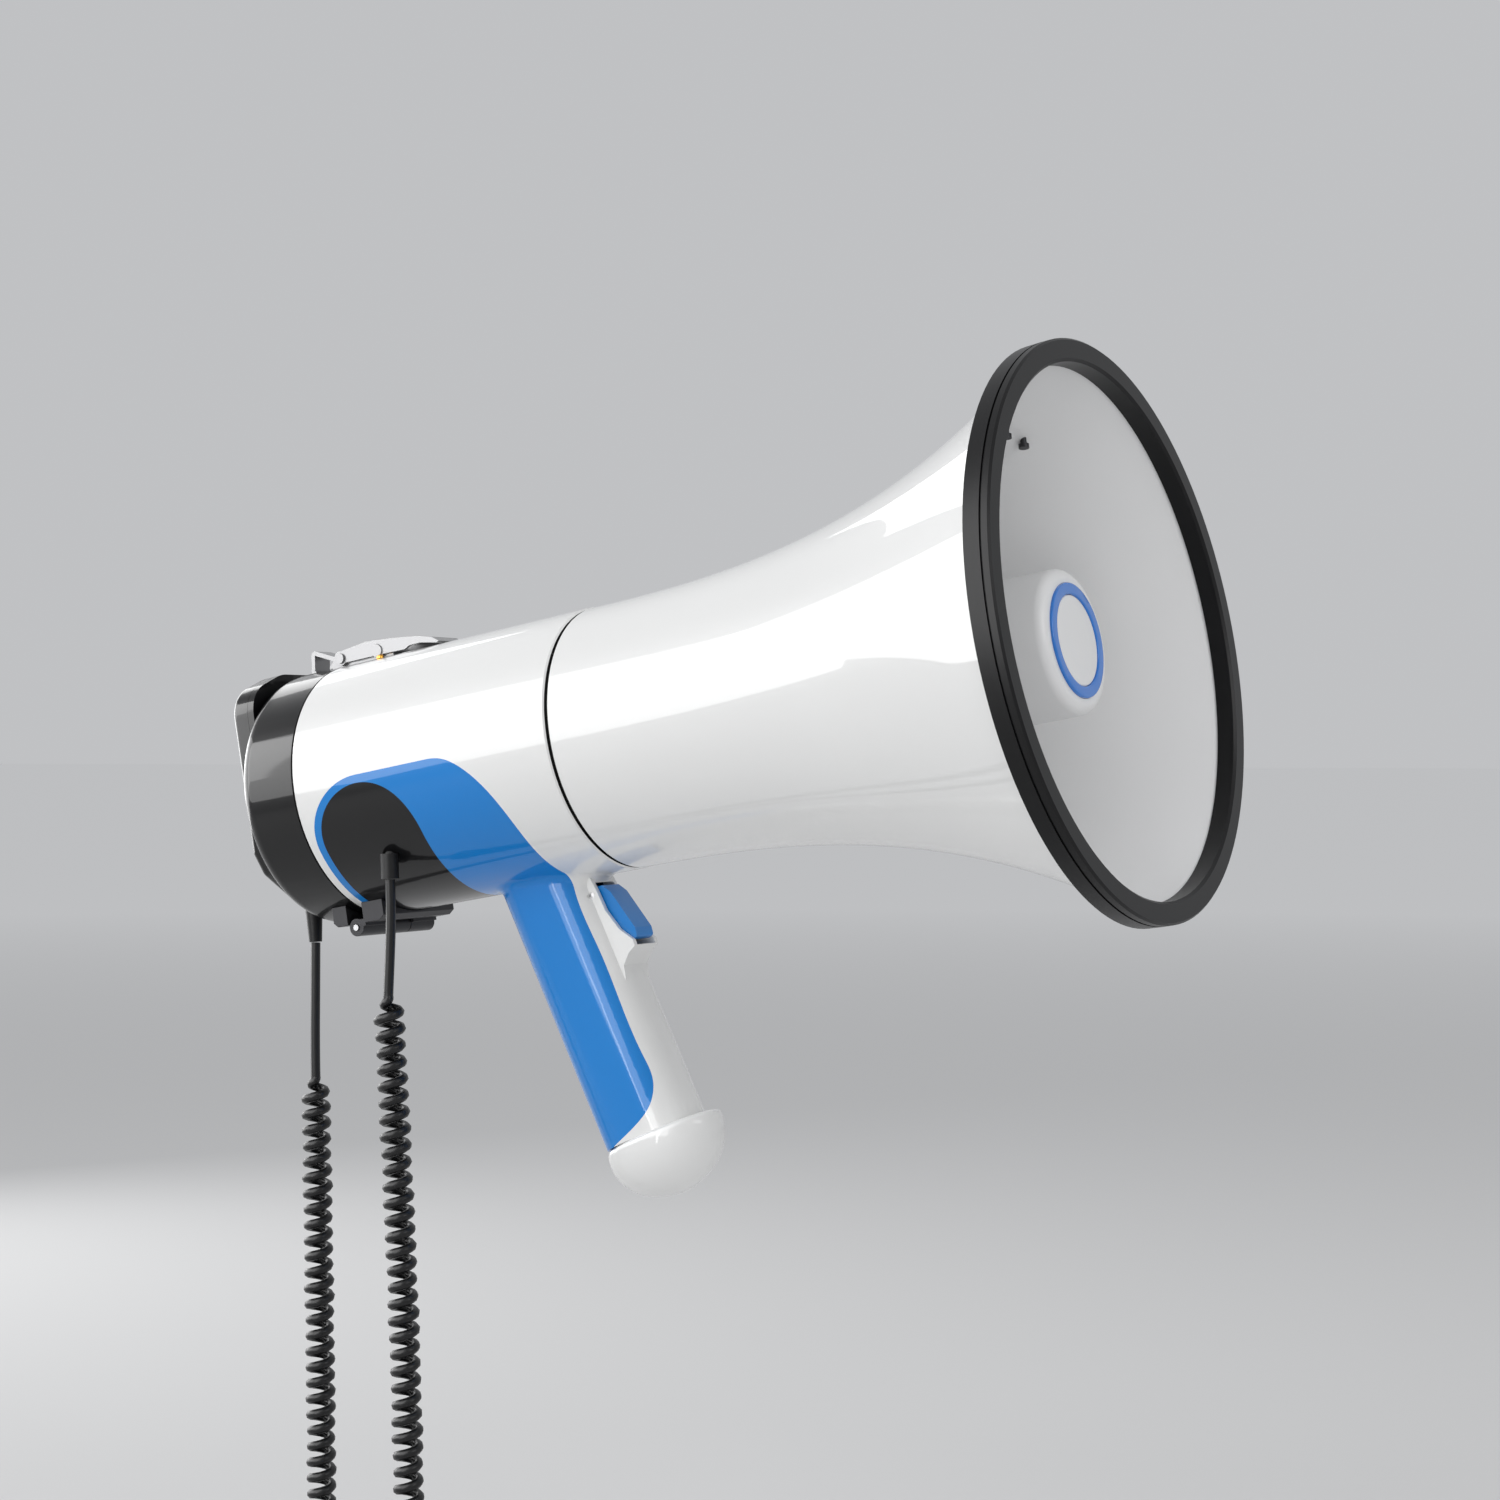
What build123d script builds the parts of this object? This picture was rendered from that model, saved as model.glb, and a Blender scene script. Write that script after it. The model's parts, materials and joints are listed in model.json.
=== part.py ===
"""Hand-held electric megaphone: a re-entrant horn, a battery body, a pistol grip and a hand microphone.

Pieces are modelled along the horn's own axis: X runs forward out of the bell, Z is up, and X = 0 is the bell's
mouth. The finished pieces are then turned nose-up, as the megaphone is held, with the middle of the grip at the
origin, so that its curly cord hangs along Z. Lengths are in millimetres and angles in degrees.
"""

import os
from math import cos, hypot, radians, sin, tan

from build123d import *

os.makedirs("parts", exist_ok=True)

# ---- driving dimensions ----
nose_up = 10.0  # how far the horn points above level when the megaphone is held
bell_diameter = 213.0  # over the rubber rim
body_diameter = 105.0  # battery body and rear cap
horn_length = 214.6  # bell mouth to the seam between horn and body
body_length = 124.0  # white body behind the seam gasket
cap_length = 28.4  # black rear cap
horn_wall = 2.4
body_wall = 2.5
cover_depth = 1.2  # pocket in the body that the blue and black covers lie in
seat = 0.1  # between pieces of one body
running = 0.3  # between pieces that move against each other

grip_depth = 42.0  # front to back
grip_width = 33.0
grip_corner = 14.0
grip_slope = 0.3  # forward shift of the grip for each millimetre down
grip_behind_seam = 42.4  # seam to the grip's middle line at the body's underside
grip_length = 103.0  # body's underside to the middle of the grip's cut end
end_slant = 0.23  # rise of that cut for each millimetre forward
grip_wall = 2.4

cup_radius = 27.0  # sound reflector in the middle of the bell
cup_front_x = -17.5
cup_length = 78.0
throat_front_x = -56.0

driver_radius = 35.0
driver_screw_circle = 32.0  # radius that the driver's four screws stand on
cell_diameter = 26.2
cell_length = 50.0
cell_count = 6

panel_radius = 24.0  # round top of the black side panel
panel_behind = 31.5  # panel's middle, forward of the body's rear edge
cover_rim = 3.3  # blue strip round the panel

mic_half_width = 32.0
mic_thickness = 8.6  # back shell
mic_y = -3.0
wire_r = 2.0
coil_r = 6.25

body_r = body_diameter / 2
inner_r = body_r - body_wall
pocket_r = body_r - cover_depth
bell_r = bell_diameter / 2
mouth_r = bell_r - 2.2  # plastic bell's edge, inside the rubber
throat_r = body_r - 0.3

gasket_width = 1.2
seam_x = -horn_length
body_front_x = seam_x - gasket_width
body_rear_x = body_front_x - body_length
cap_front_x = body_rear_x - running
cap_rear_x = cap_front_x - cap_length
baffle_x = seam_x + 4.0  # front of the plate that closes the horn's back
parting_z = 6.5  # the body's two shells meet here


def grip_x(z):
    """Middle line of the grip at height z, in side view."""
    return seam_x - grip_behind_seam - grip_slope * (z + body_r)


grip_end_z = -body_r - grip_length
grip_middle_z = -body_r - 0.6 * grip_length
origin = (grip_x(grip_middle_z), 0.0, grip_middle_z)
as_held = Location((0, 0, 0), (0, -nose_up, 0)) * Location((-origin[0], 0, -origin[2]))
level = Location((0, 0, 0))
side_view = Plane.XZ
front = (1, 0, 0)


def across(x):
    """The plane that cuts the horn's axis at x."""
    return Plane(origin=(x, 0, 0), x_dir=(0, 1, 0), z_dir=front)


def keep(piece, name, placed=as_held):
    """Place a finished piece, label it and write its STEP file."""
    piece.part.label = name
    solid = piece.part.moved(placed)
    solid.label = name
    export_step(solid, f"parts/{name}.step")


def prism(points, half_width):
    """A private solid: a side-view polygon drawn out to both sides."""
    with BuildPart(mode=Mode.PRIVATE) as cutter:
        with BuildSketch(side_view):
            with BuildLine():
                Polyline(*points, close=True)
            make_face()
        extrude(amount=half_width, both=True)
    return cutter.part


def rod(start, end, radius, end_radius=None):
    """A private solid: a round rod between two points, or a taper."""
    line = Vector(*end) - Vector(*start)
    with BuildPart(mode=Mode.PRIVATE) as made:
        with BuildSketch(Plane(origin=start, z_dir=line)):
            Circle(radius)
        if end_radius:
            with BuildSketch(Plane(origin=end, z_dir=line)):
                Circle(end_radius)
            loft()
        else:
            extrude(amount=line.length)
    return made.part


def turned(points):
    """A private solid: a side-view polygon turned about the horn's axis."""
    with BuildPart(mode=Mode.PRIVATE) as made:
        with BuildSketch(side_view):
            with BuildLine():
                Polyline(*points, close=True)
            make_face()
        revolve(axis=Axis.X)
    return made.part


def ring(x0, x1, outer, inner):
    """A private tube about the horn's axis."""
    return turned([(x0, inner), (x1, inner), (x1, outer), (x0, outer)])


def disc(x0, x1, outer):
    """A private solid disc about the horn's axis."""
    return turned([(x0, 0), (x1, 0), (x1, outer), (x0, outer)])


# ---- horn ----
def flare(x, wall=0.0):
    """Horn radius at x: a curve that opens with the 2.6th power of the way along, less a wall."""
    way = max(0.0, (x + horn_length) / horn_length)
    return throat_r + (mouth_r - throat_r) * way**2.6 - wall


flare_stations = [seam_x + horn_length * k / 8 for k in range(9)]
with BuildPart() as horn_bell:
    with BuildSketch(side_view):
        with BuildLine():
            outside = Spline(*[(x, flare(x)) for x in flare_stations])
            inside = Spline(*[(x, flare(x, horn_wall)) for x in flare_stations])
            Line(outside @ 0, inside @ 0)
            Line(outside @ 1, inside @ 1)
        make_face()
    revolve(axis=Axis.X)

rim_inner_r = bell_r - 8.5
rim_front_x = 2.5
rim_back_x = -7.5
with BuildPart() as bell_rim:
    add(
        turned(
            [
                (rim_front_x, rim_inner_r + 1.0),
                (rim_front_x, bell_r - 0.8),
                (rim_front_x - 0.8, bell_r),
                (-0.6, bell_r),
                (-0.6, bell_r - 0.8),
                (-1.4, bell_r - 0.8),
                (-1.4, bell_r),
                (rim_back_x, bell_r - 0.2),
                (rim_back_x, flare(rim_back_x) + seat),
                (rim_back_x / 2, flare(rim_back_x / 2) + seat),
                (seat, flare(0) + seat),
                (seat, flare(0, horn_wall) - seat),
                (-2.5, flare(-2.5, horn_wall) - seat),
                (-5.0, flare(-5.0, horn_wall) - seat),
                (-5.0, rim_inner_r),
                (rim_front_x - 1.0, rim_inner_r),
            ]
        )
    )

throat_inner, throat_outer = (9.0, 14.0), (11.5, 16.5)
with BuildPart() as throat_tube:
    add(
        turned(
            [
                (seam_x + 0.5, throat_inner[0]),
                (throat_front_x, throat_inner[1]),
                (throat_front_x, throat_outer[1]),
                (baffle_x, throat_outer[0]),
                (baffle_x, throat_r - horn_wall - seat),
                (seam_x + 0.5, throat_r - horn_wall - seat),
            ]
        )
    )
    with Locations(across(seam_x).location):
        with PolarLocations(driver_screw_circle, 4, start_angle=45):
            Hole(1.25, depth=10)

cup_back_x = cup_front_x - cup_length
cup_wall = 2.2
throat_slope = (throat_outer[1] - throat_outer[0]) / (throat_front_x - baffle_x)
rib_x = (cup_back_x + 2.0, cup_back_x + 22.0)
cup_ring_r = (16.9, 21.3)
with BuildPart() as reflector_cup:
    with BuildSketch(side_view):
        with BuildLine():
            Polyline(
                (cup_back_x, cup_radius - cup_wall),
                (cup_back_x, cup_radius),
                (cup_front_x, cup_radius),
                (cup_front_x, cup_ring_r[1] + seat),
                (cup_front_x - 1.2, cup_ring_r[1] + seat),
                (cup_front_x - 1.2, 0),
                (cup_front_x - 1.2 - cup_wall, 0),
                (cup_front_x - 1.2 - cup_wall, cup_radius - cup_wall),
                close=True,
            )
        make_face()
    revolve(axis=Axis.X)
    fillet(edges().filter_by(GeomType.CIRCLE).sort_by_distance((cup_front_x, 0, cup_radius))[0], 4)
    with BuildSketch(across(rib_x[0])):
        with PolarLocations(0, 3, start_angle=90):
            with Locations(((cup_radius - cup_wall / 2) / 2 + 4, 0)):
                Rectangle(cup_radius - cup_wall / 2 - 8, 2.4)
    extrude(amount=rib_x[1] - rib_x[0])
    add(
        turned(
            [
                (rib_x[0] - 1, 0),
                (rib_x[1] + 1, 0),
                (rib_x[1] + 1, throat_outer[0] + throat_slope * (rib_x[1] + 1 - baffle_x) + seat),
                (rib_x[0] - 1, throat_outer[0] + throat_slope * (rib_x[0] - 1 - baffle_x) + seat),
            ]
        ),
        mode=Mode.SUBTRACT,
    )

with BuildPart() as reflector_ring:
    add(ring(cup_front_x - 1.2, cup_front_x + 1.0, cup_ring_r[1], cup_ring_r[0]))
    fillet(edges().filter_by(GeomType.CIRCLE).group_by(Axis.X)[-1], 0.6)

with BuildPart() as reflector_disc:
    add(disc(cup_front_x - 1.2, cup_front_x + 0.5, cup_ring_r[0] - seat))
    fillet(edges().filter_by(GeomType.CIRCLE).group_by(Axis.X)[-1], 0.5)

# ---- driver ----
housing_x = (seam_x - 10.0, seam_x + 0.5)
dome_x = housing_x[0] - 1.0 - seat
magnet_x = (dome_x - 13.0, dome_x)
plate_x = (magnet_x[0] - 4.0, magnet_x[0])
with BuildPart() as driver_housing:
    add(ring(*housing_x, driver_radius + 1, throat_inner[0]))
    add(disc(housing_x[0] - 1, housing_x[0] + 5, driver_radius - 6.5), mode=Mode.SUBTRACT)
    with Locations(across(housing_x[0]).location):
        with PolarLocations(driver_screw_circle, 4, start_angle=45):
            Hole(1.6, depth=30)

with BuildPart() as driver_diaphragm:
    add(ring(dome_x, dome_x + 1.0, driver_radius - 1, 12.0))
    add(ring(dome_x - 6.0, dome_x + 1.0, 13.0, 12.0))
    add(turned([(dome_x + 1.0, 12.5), (dome_x + 4.0, 8.0), (dome_x + 5.0, 0), (dome_x + 4.2, 0), (dome_x + 3.2, 8.0), (dome_x + 0.2, 12.5)]))

with BuildPart() as driver_magnet:
    add(ring(magnet_x[0], magnet_x[1], driver_radius, 15.0))
    chamfer(edges().filter_by(GeomType.CIRCLE), 0.8)

with BuildPart() as driver_back_plate:
    add(disc(*plate_x, driver_radius - 2))
    add(disc(plate_x[0], dome_x - 1.0, 11.0))
    chamfer(edges().filter_by(GeomType.CIRCLE).group_by(Axis.X)[0], 1.0)

with BuildPart() as driver_screws:
    for angle in (45, 135, 225, 315):
        y, z = driver_screw_circle * cos(radians(angle)), driver_screw_circle * sin(radians(angle))
        add(rod((baffle_x, y, z), (baffle_x + 1.8, y, z), 2.8))
        add(rod((housing_x[0] + 2, y, z), (baffle_x, y, z), 1.2))

with BuildPart() as seam_gasket:
    add(ring(body_front_x, seam_x, throat_r - 1.6, throat_r - 6.0))

# ---- strap lug on the bell ----
lug_x = -34.5
lug_turn = 9.5  # past the top, towards the far side
lug_plane = Plane(
    origin=(lug_x, flare(lug_x) * sin(radians(lug_turn)), flare(lug_x) * cos(radians(lug_turn))),
    x_dir=front,
    z_dir=(0, sin(radians(lug_turn)), cos(radians(lug_turn))),
)
lug_eye_r = 4.0
lug_eye_height = 8.0
lug_thickness = 4.0
lug_screw_spread = 7.25
lug_eye = lug_plane.from_local_coords((0, 0, lug_eye_height))
with BuildPart() as strap_lug:
    with BuildSketch(lug_plane.offset(-4.5)):
        RectangleRounded(12, 24, 3)
    extrude(amount=6.0)
    with BuildSketch(Plane(origin=lug_plane.origin, x_dir=lug_plane.x_dir, z_dir=-lug_plane.y_dir)):
        with BuildLine():
            Polyline((-5.5, 0), (5.5, 0), (5.5, lug_eye_height))
            ThreePointArc((5.5, lug_eye_height), (0, lug_eye_height + 5.5), (-5.5, lug_eye_height))
            Line((-5.5, lug_eye_height), (-5.5, 0))
        make_face()
        with Locations((0, lug_eye_height)):
            Circle(lug_eye_r, mode=Mode.SUBTRACT)
    extrude(amount=lug_thickness / 2, both=True)
    add(turned([(lug_x - 20, 0)] + [(lug_x + d, flare(lug_x + d) + seat) for d in (-20, -10, 0, 10, 20)] + [(lug_x + 20, 0)]),
        mode=Mode.SUBTRACT)
    with Locations(lug_plane.location):
        with Locations((0, lug_screw_spread), (0, -lug_screw_spread)):
            Hole(1.25, depth=30)

screw_tools = []
with BuildPart() as lug_screws:
    for side in (lug_screw_spread, -lug_screw_spread):
        top = lug_plane.from_local_coords((0, side, 1.5))
        foot = lug_plane.from_local_coords((0, side, -4.6))
        cap_top = lug_plane.from_local_coords((0, side, 2.6))
        tip = lug_plane.from_local_coords((0, side, -6.2))
        add(rod(tuple(top), tuple(cap_top), 2.4))
        add(rod(tuple(foot), tuple(top), 1.2))
        add(rod(tuple(tip), tuple(foot), 2.0))
        screw_tools.append(rod(tuple(tip), tuple(cap_top), 1.25))
        screw_tools.append(rod(tuple(tip), tuple(foot), 2.05))
with BuildPart() as drilled_bell:
    add(horn_bell.part)
    for tool in screw_tools:
        add(tool, mode=Mode.SUBTRACT)
horn_bell = drilled_bell

# ---- body and grip ----
def on_grip(forward, drop):
    """A side-view point, given forward of the grip's middle line and below the body's underside."""
    return (grip_x(-body_r - drop) + forward, -body_r - drop)


def grip_solid(depth, width, corner, top_drop, end_drop):
    """A private solid of the slanted grip between two heights."""
    with BuildPart(mode=Mode.PRIVATE) as made:
        for drop in (top_drop, end_drop):
            x, z = on_grip(0, drop)
            with BuildSketch(Plane.XY.offset(z)):
                with Locations((x, 0)):
                    RectangleRounded(depth, width, corner)
        loft()
    return made.part


def beyond_end(gap, reach):
    """A private solid: from the slanted cut at the grip's end, moved down by gap, to a drop of reach."""
    half = 60.0
    return prism([on_grip(-half, grip_length + gap + end_slant * half), on_grip(half, grip_length + gap - end_slant * half),
                  on_grip(half, reach), on_grip(-half, reach)], 40)


panel_x = body_rear_x + panel_behind
panel_z = -26.0
cover_r = panel_radius + cover_rim
cover_top_end = panel_x + 36.0
cover_front = [
    (cover_top_end, panel_z + cover_r),
    (panel_x + 49.0, -3.0),
    (panel_x + 61.5, -17.0),
    (panel_x + 66.8, -33.0),
    on_grip(17.0, 0),
    on_grip(16.4, 30),
    on_grip(16.4, 72),
    on_grip(15.9, 84),
    on_grip(13.1, 90.0),
    on_grip(6.6, 96.0),
    on_grip(-13.5, 107.0),
    on_grip(-30.0, 114.5),
]
low = -body_r - 8.0
with BuildPart() as cover_zone:
    with BuildSketch(side_view):
        with BuildLine():
            Line((panel_x - cover_r, low), (panel_x - cover_r, panel_z))
            RadiusArc((panel_x - cover_r, panel_z), (panel_x, panel_z + cover_r), cover_r)
            Line((panel_x, panel_z + cover_r), cover_front[0])
            Spline(*cover_front, tangents=[(1, 0), (-0.85, -0.4)])
            Polyline(cover_front[-1], on_grip(-34, 8), (panel_x - cover_r, low))
        make_face()
    extrude(amount=bell_r, both=True)
    add(disc(body_rear_x - 1, body_front_x + 1, pocket_r), mode=Mode.SUBTRACT)

with BuildPart() as panel_zone:
    with BuildSketch(side_view):
        with BuildLine():
            Polyline((panel_x + panel_radius, panel_z), (panel_x + panel_radius, low),
                     (panel_x - panel_radius, low), (panel_x - panel_radius, panel_z))
            ThreePointArc((panel_x - panel_radius, panel_z), (panel_x, panel_z + panel_radius),
                          (panel_x + panel_radius, panel_z))
        make_face()
    extrude(amount=bell_r, both=True)

trigger_half = 6.0
housing_outline = [
    on_grip(0, -6), on_grip(22.3, -1), on_grip(23.1, 5.5), on_grip(23.4, 14.2), on_grip(26.1, 22.2),
    on_grip(30.3, 27.1), on_grip(30.0, 29.6), on_grip(26.0, 32.0), on_grip(21.6, 36.5), on_grip(20.0, 42.0), on_grip(0, 42.0),
]
trigger_slot = prism([on_grip(12.5, 2.5), on_grip(12.5, 29.2), on_grip(42, 29.2), on_grip(42, 2.5)], trigger_half + 0.5)
grip_cavity = grip_solid(grip_depth - 2 * grip_wall, grip_width - 2 * grip_wall, grip_corner - grip_wall, -16,
                         grip_length + 12)
pivot = on_grip(20.0, 7.5)
pivot_hole = rod((pivot[0], -30, pivot[1]), (pivot[0], 30, pivot[1]), 1.25)

with BuildPart() as outer_form:
    add(disc(body_rear_x, body_front_x, body_r))
    add(grip_solid(grip_depth, grip_width, grip_corner, -10, grip_length + 12))
    neck = edges().filter_by(lambda e: -body_r - 1 < e.center().Z < -body_r / 2 and e.geom_type not in (GeomType.LINE,)
                             and body_rear_x + 5 < e.center().X < body_front_x - 2)
    fillet(neck, 4.5)
    add(prism(housing_outline, trigger_half + 2.6))
    add(beyond_end(0, 170), mode=Mode.SUBTRACT)

with BuildPart() as hollow_form:
    add(outer_form.part)
    add(disc(body_rear_x - 1, body_front_x + 1, inner_r), mode=Mode.SUBTRACT)
    add(grip_cavity, mode=Mode.SUBTRACT)
    add(trigger_slot, mode=Mode.SUBTRACT)
    add(pivot_hole, mode=Mode.SUBTRACT)

# ---- what passes through the covers ----
knob_angle = 22.0  # below level, on the far side
knob_x = panel_x - 4.0
knob_out = (0, cos(radians(knob_angle)), -sin(radians(knob_angle)))
knob_plane = Plane(origin=(knob_x, 0, 0), x_dir=front, z_dir=knob_out)
slider_angle = 48.0
slider_x = panel_x - 2.0
slider_travel = 4.0
slider_plane = Plane(origin=(slider_x, 0, 0), x_dir=front, z_dir=(0, cos(radians(slider_angle)), -sin(radians(slider_angle))))

held_frame = as_held.inverse()


def unheld(x, y, z):
    """A point of the held megaphone's frame, in the horn's own frame."""
    return tuple((held_frame * Pos(x, y, z)).position)


gland_r = 3.6
gland_foot = unheld(-78.4, -43.0, 60.6)
gland_top = unheld(-78.9, -43.0, 70.5)
gland_bend = unheld(-78.7, -43.0, 66.5)
gland_inner = (gland_bend[0], -35.6, -25.5)
with BuildPart() as gland_hole:
    add(rod(gland_foot, gland_top, gland_r + seat))
    add(rod(gland_bend, (gland_inner[0], -33.0, -22.0), 3.0 + seat))

with BuildPart() as control_holes:
    with BuildSketch(knob_plane.offset(inner_r - 6)):
        Circle(4.0)
    extrude(amount=12)
    with BuildSketch(slider_plane.offset(inner_r - 6)):
        Rectangle(2 * slider_travel + 6.6, 4.6)
    extrude(amount=12)

edge_break = 0.6  # bevel round both ends of the body
with BuildPart() as end_bevels:
    for end_x, inward in ((body_rear_x, 1), (body_front_x, -1)):
        add(turned([(end_x - inward, body_r - edge_break), (end_x, body_r - edge_break),
                    (end_x + inward * edge_break, body_r), (end_x + inward * edge_break, body_r + 1), (end_x - inward, body_r + 1)]))

with BuildPart() as body_lower_shell:
    add(hollow_form.part)
    add(end_bevels.part, mode=Mode.SUBTRACT)
    add(cover_zone.part, mode=Mode.SUBTRACT)
    add(gland_hole.part, mode=Mode.SUBTRACT)
    add(control_holes.part, mode=Mode.SUBTRACT)
    split(bisect_by=Plane.XY.offset(parting_z), keep=Keep.BOTTOM)

with BuildPart() as body_upper_shell:
    add(ring(body_rear_x, body_front_x, body_r, inner_r))
    add(end_bevels.part, mode=Mode.SUBTRACT)
    split(bisect_by=Plane.XY.offset(parting_z), keep=Keep.TOP)

with BuildPart() as grip_cover:
    add(hollow_form.part)
    add(cover_zone.part, mode=Mode.INTERSECT)
    add(panel_zone.part, mode=Mode.SUBTRACT)

with BuildPart() as belly_panel:
    add(disc(body_rear_x, body_front_x, body_r))
    add(cover_zone.part, mode=Mode.INTERSECT)
    add(panel_zone.part, mode=Mode.INTERSECT)
    add(gland_hole.part, mode=Mode.SUBTRACT)
    add(control_holes.part, mode=Mode.SUBTRACT)

end_radii = (24.5, 18.5, 20.7)
end_tilt = -32.8
end_x, end_z = on_grip(4.2, grip_length + 3.0)
end_wall = 2.4


def egg(shrink):
    """A private solid: the rounded end of the grip, smaller all round by shrink, with its flat slanted top."""
    made = scale(Sphere(1, mode=Mode.PRIVATE), by=tuple(r - shrink for r in end_radii), mode=Mode.PRIVATE)
    return (Location((end_x, 0, end_z), (0, end_tilt, 0)) * made) - beyond_end(shrink, 60)


with BuildPart() as grip_end_cap:
    add(egg(0))
    fillet(edges().sort_by(Axis.Z)[-1], 1.5)
    add(egg(end_wall), mode=Mode.SUBTRACT)
    add(grip_cavity, mode=Mode.SUBTRACT)

with BuildPart() as trigger:
    with BuildSketch(side_view):
        with BuildLine():
            Polyline(on_grip(18.0, 4.6), on_grip(25.0, 4.0), on_grip(27.5, 7.0), on_grip(31.8, 22.5), on_grip(31.2, 26.0),
                     on_grip(28.8, 27.0), on_grip(17.0, 27.0), close=True)
        make_face()
    extrude(amount=trigger_half, both=True)
    fillet(edges().filter_by(Axis.Y).sort_by(Axis.X)[-3:], 1.5)
    add(rod((pivot[0], -30, pivot[1]), (pivot[0], 30, pivot[1]), 1.3), mode=Mode.SUBTRACT)
    add(prism([on_grip(15.5, 2.5), on_grip(24.0, 2.5), on_grip(24.0, 12.5), on_grip(15.5, 12.5)], 1.4), mode=Mode.SUBTRACT)

with BuildPart() as trigger_pin:
    add(rod((pivot[0], -trigger_half - 2.2, pivot[1]), (pivot[0], trigger_half + 2.2, pivot[1]), 1.25))

with BuildPart() as trigger_spring:
    with BuildSketch(Plane(origin=(pivot[0], -0.8, pivot[1]), x_dir=front, z_dir=(0, 1, 0))):
        Circle(2.6)
        Circle(1.5, mode=Mode.SUBTRACT)
    extrude(amount=1.6)
    leg_foot = on_grip(9.4, 12.0)
    add(rod((pivot[0] - 1.9, 0, pivot[1] - 1.0), (leg_foot[0], 0, leg_foot[1]), 0.5))

switch_x, switch_z = on_grip(2.0, 20.0)
with BuildPart() as trigger_switch:
    with Locations((switch_x, 0, switch_z)):
        Box(12, 6.4, 14)
    button = on_grip(14.0, 22.0)
    add(rod((switch_x + 5, 0, button[1]), (button[0] - 0.6, 0, button[1]), 1.6))

with BuildPart() as switch_bracket:
    with Locations((switch_x - 7.0, 0, switch_z)):
        Box(2.0, grip_width - 2 * grip_wall - 0.2, 16)

# ---- inside the body ----
bulkhead_x = (body_rear_x + 48.8, body_rear_x + 51.0)
board_x = (body_rear_x + 76.8, body_rear_x + 78.4)
post_places = [(y, z) for y in (-26, 26) for z in (-20, 20)]
with BuildPart() as battery_bulkhead:
    add(disc(*bulkhead_x, inner_r - seat))

with BuildPart() as board_posts:
    for y, z in post_places:
        add(rod((bulkhead_x[1], y, z), (board_x[0], y, z), 3.0))

with BuildPart() as amplifier_board:
    with BuildSketch(across(board_x[0])):
        RectangleRounded(66, 54, 2)
    extrude(amount=board_x[1] - board_x[0])

with BuildPart() as heat_sink:
    with Locations((board_x[0] - 1.0, 0, 4)):
        Box(2.0, 34, 24)
    for k in range(5):
        with Locations((board_x[0] - 8.0, -14 + 7 * k, 4)):
            Box(14.0, 1.6, 24)

with BuildPart() as board_capacitors:
    for y, z in ((-22, -14), (-8, -16), (20, 14)):
        add(rod((board_x[1], y, z), (board_x[1] + 13, y, z), 5.0))

cell_r = cell_diameter / 2
cell_bore_r = cell_r + running
cell_ring_r = (cell_bore_r + 0.2) / sin(radians(180 / cell_count))
holder_r = cell_ring_r + cell_bore_r + 1.8
contact_gap = 6.3
cell_front_x = bulkhead_x[0] - contact_gap
cell_back_x = cell_front_x - cell_length
holder_x = (cell_back_x - 2.0, cell_front_x)
cell_places = [(cell_ring_r * cos(radians(360 * k / cell_count)), cell_ring_r * sin(radians(360 * k / cell_count)))
               for k in range(cell_count)]
with BuildPart() as battery_holder:
    add(ring(*holder_x, holder_r, 11.0))
    for y, z in cell_places:
        add(rod((cell_back_x, y, z), (cell_front_x + 1, y, z), cell_bore_r), mode=Mode.SUBTRACT)
    for angle in (35, 90, 145, 270):
        with BuildSketch(across(body_rear_x + 5.0)):
            with Locations(Location((0, 0, 0), (0, 0, angle))):
                with Locations(((holder_r + inner_r) / 2 - 0.4, 0)):
                    Rectangle(inner_r - holder_r + 0.6, 3.0)
        extrude(amount=holder_x[1] - body_rear_x - 5.0)
    add(ring(holder_x[0] - 1, holder_x[1] + 1, body_r + 5, inner_r - seat), mode=Mode.SUBTRACT)

with BuildPart() as battery_cells:
    for y, z in cell_places:
        add(rod((cell_back_x, y, z), (cell_front_x - 1.5, y, z), cell_r))
        add(rod((cell_front_x - 1.5, y, z), (cell_front_x, y, z), 3.2))

with BuildPart() as battery_contacts:
    for y, z in cell_places:
        add(rod((bulkhead_x[0], y, z), (cell_front_x, y, z), 6.0, 3.0))

# ---- controls on the far side ----
with BuildPart() as volume_pot:
    with BuildSketch(knob_plane.offset(inner_r - 6.6)):
        Circle(8.0)
    extrude(amount=5.6)
    with BuildSketch(knob_plane.offset(inner_r - 5)):
        Circle(3.0)
    extrude(amount=12)
    with BuildSketch(knob_plane.offset(inner_r - 5)):
        Circle(3.9)
    extrude(amount=3.5)

knob_r = 9.0
knob_base = body_r + 0.8
with BuildPart() as volume_knob:
    with BuildSketch(knob_plane.offset(knob_base)):
        Circle(knob_r)
    extrude(amount=9.0)
    fillet(edges().filter_by(GeomType.CIRCLE).sort_by(Axis.Y)[-1], 1.2)
    with BuildSketch(knob_plane.offset(knob_base + 1.5)):
        with PolarLocations(knob_r, 18):
            Circle(0.7)
    extrude(amount=8.0, mode=Mode.SUBTRACT)
    with BuildSketch(knob_plane.offset(knob_base - 1)):
        Circle(3.05)
    extrude(amount=6.5, mode=Mode.SUBTRACT)
    with BuildSketch(knob_plane.offset(knob_base + 8.2)):
        with Locations((0, knob_r / 2 + 0.6)):
            Rectangle(1.2, knob_r - 3.2)
    extrude(amount=2, mode=Mode.SUBTRACT)

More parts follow.
